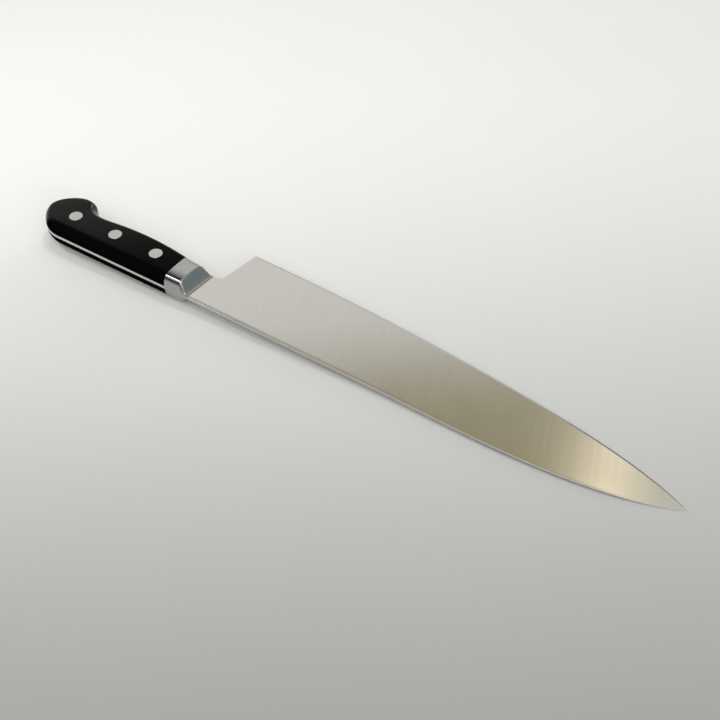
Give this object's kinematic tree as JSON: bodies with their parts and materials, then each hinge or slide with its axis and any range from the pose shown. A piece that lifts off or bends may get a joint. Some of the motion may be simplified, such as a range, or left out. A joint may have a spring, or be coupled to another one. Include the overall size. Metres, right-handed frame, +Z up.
{
  "type": "gyuto knife",
  "caption": "Long chef's knife with a tapering satin blade, a sloped polished bolster and black riveted scales on a full tang with a hooked butt.",
  "frame": {"origin": "under the middle of the knife's box, on the surface that it lies on", "axes": "+X towards the tip, +Y towards the cutting edge, +Z up out of the left face"},
  "size_m": [0.4364, 0.055, 0.018],
  "materials": {
    "blade_steel": "satin stainless steel, ground across the blade",
    "bolster_steel": "polished stainless steel",
    "scale_black": "satin black resin-bonded wood laminate",
    "rivet_metal": "satin stainless steel, ground flush"
  },
  "bodies": {
    "root": {"blade": "blade_steel", "bolster_left": "bolster_steel", "bolster_right": "bolster_steel", "scale_left": "scale_black", "scale_right": "scale_black", "rivet_front_tube": "rivet_metal", "rivet_front_pin": "rivet_metal", "rivet_middle_tube": "rivet_metal", "rivet_middle_pin": "rivet_metal", "rivet_rear_tube": "rivet_metal", "rivet_rear_pin": "rivet_metal"}
  },
  "joints": []
}
